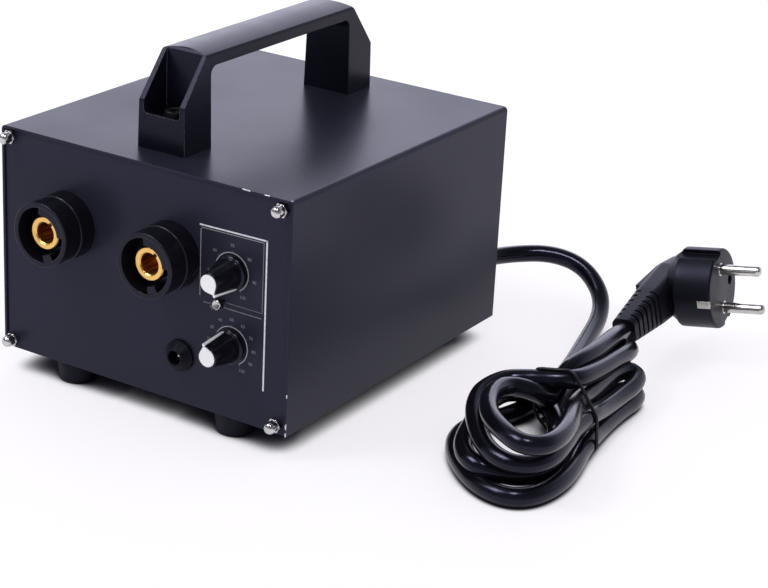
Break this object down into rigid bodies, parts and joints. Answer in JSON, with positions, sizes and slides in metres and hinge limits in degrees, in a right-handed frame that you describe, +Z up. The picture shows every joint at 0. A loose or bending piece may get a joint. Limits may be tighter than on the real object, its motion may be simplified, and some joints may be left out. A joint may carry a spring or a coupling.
{
  "type": "battery spot welder",
  "caption": "Portable battery spot welder: dark sheet-metal box with a bridge handle, front output sockets, pointer knobs and a tied mains cord with an angled earthed plug.",
  "frame": {"origin": "on the floor under the middle of the welder's own box, measured without its cord", "axes": "+Z up, -Y out of the front panel with the sockets and knobs, +X to the right seen from the front"},
  "size_m": [0.2646, 0.2455, 0.1521],
  "materials": {
    "case_paint": "semi-matte dark charcoal powder coat",
    "base_steel": "matte black coat",
    "bright_nut": "bright nickel plate",
    "zinc_steel": "zinc plate",
    "black_steel": "black oxide",
    "foot_rubber": "matte black rubber",
    "handle_plastic": "satin black nylon",
    "socket_plastic": "satin black moulding",
    "contact_brass": "turned brass",
    "lug_copper": "tinned copper",
    "lead_sheath": "soft red lead",
    "pot_metal": "plated steel",
    "knob_plastic": "glossy black",
    "knob_white": "white inlay",
    "lamp_clear": "clear lens",
    "jack_plastic": "satin black moulding",
    "board_laminate": "green laminate",
    "chip_black": "black moulding",
    "capacitor_can": "sleeved can",
    "core_steel": "stacked steel sheets",
    "coil_copper": "enamelled copper",
    "sink_aluminium": "extruded",
    "fuse_glass": "clear tube",
    "fuse_metal": "nickel plate",
    "switch_plastic": "black moulding",
    "grip_plastic": "soft black moulding",
    "cord_sheath": "glossy black sheath",
    "tie_wire": "black coated wire",
    "plug_plastic": "satin black moulding",
    "pin_plate": "nickel plate"
  },
  "bodies": {
    "welder": {"case_cover": "case_paint", "front_panel": "case_paint", "rear_panel": "case_paint", "base_plate": "base_steel", "cap_nuts": "bright_nut", "corner_studs": "zinc_steel", "foot_screws": "zinc_steel", "small_nuts": "zinc_steel", "handle_nuts": "zinc_steel", "transformer_strap": "zinc_steel", "base_screws": "zinc_steel", "switch_tabs": "zinc_steel", "lamp_leads": "zinc_steel", "pedal_jack_nut": "zinc_steel", "handle_screws": "black_steel", "rubber_feet": "foot_rubber", "carry_handle": "handle_plastic", "output_shroud_left": "socket_plastic", "output_shroud_right": "socket_plastic", "output_insulators": "socket_plastic", "output_contact_left": "contact_brass", "output_contact_right": "contact_brass", "output_nuts": "contact_brass", "output_lugs": "lug_copper", "output_leads": "lead_sheath", "pot_body_upper": "pot_metal", "pot_body_lower": "pot_metal", "pot_nuts": "pot_metal", "indicator_lamp": "lamp_clear", "pedal_jack_body": "jack_plastic", "control_board": "board_laminate", "control_chip": "chip_black", "power_triac": "chip_black", "board_capacitors": "capacitor_can", "transformer_core": "core_steel", "supply_transformer": "core_steel", "primary_coil": "coil_copper", "secondary_coil": "coil_copper", "heat_sink": "sink_aluminium", "fuse_tube": "fuse_glass", "fuse_clips": "fuse_metal", "switch_frame": "switch_plastic", "cord_grip": "grip_plastic", "cord_grip_nut": "grip_plastic", "supply_cord": "cord_sheath", "cord_hank": "cord_sheath", "cord_tail": "cord_sheath", "cord_tie": "tie_wire", "plug_body": "plug_plastic", "plug_pins": "pin_plate", "plug_earth_clips": "pin_plate", "pedal_jack_pin": "pin_plate"},
    "upper_knob": {"knob_upper": "knob_plastic", "knob_cap_upper": "knob_white", "pot_shaft_upper": "pot_metal"},
    "lower_knob": {"knob_lower": "knob_plastic", "knob_cap_lower": "knob_white", "pot_shaft_lower": "pot_metal"},
    "rocker": {"switch_rocker": "switch_plastic"}
  },
  "joints": [
    {"name": "upper_knob_turn", "type": "hinge", "parent": "welder", "child": "upper_knob", "pos_m": [0.0462, -0.0772, 0.0744], "axis": [0, -1, 0], "range_deg": [-4, 296]},
    {"name": "lower_knob_turn", "type": "hinge", "parent": "welder", "child": "lower_knob", "pos_m": [0.0462, -0.0772, 0.0424], "axis": [0, -1, 0], "range_deg": [-168, 132]},
    {"name": "rocker_tip", "type": "hinge", "parent": "welder", "child": "rocker", "pos_m": [-0.04, 0.0877, 0.04], "axis": [-1, 0, 0], "range_deg": [0, 24]}
  ]
}
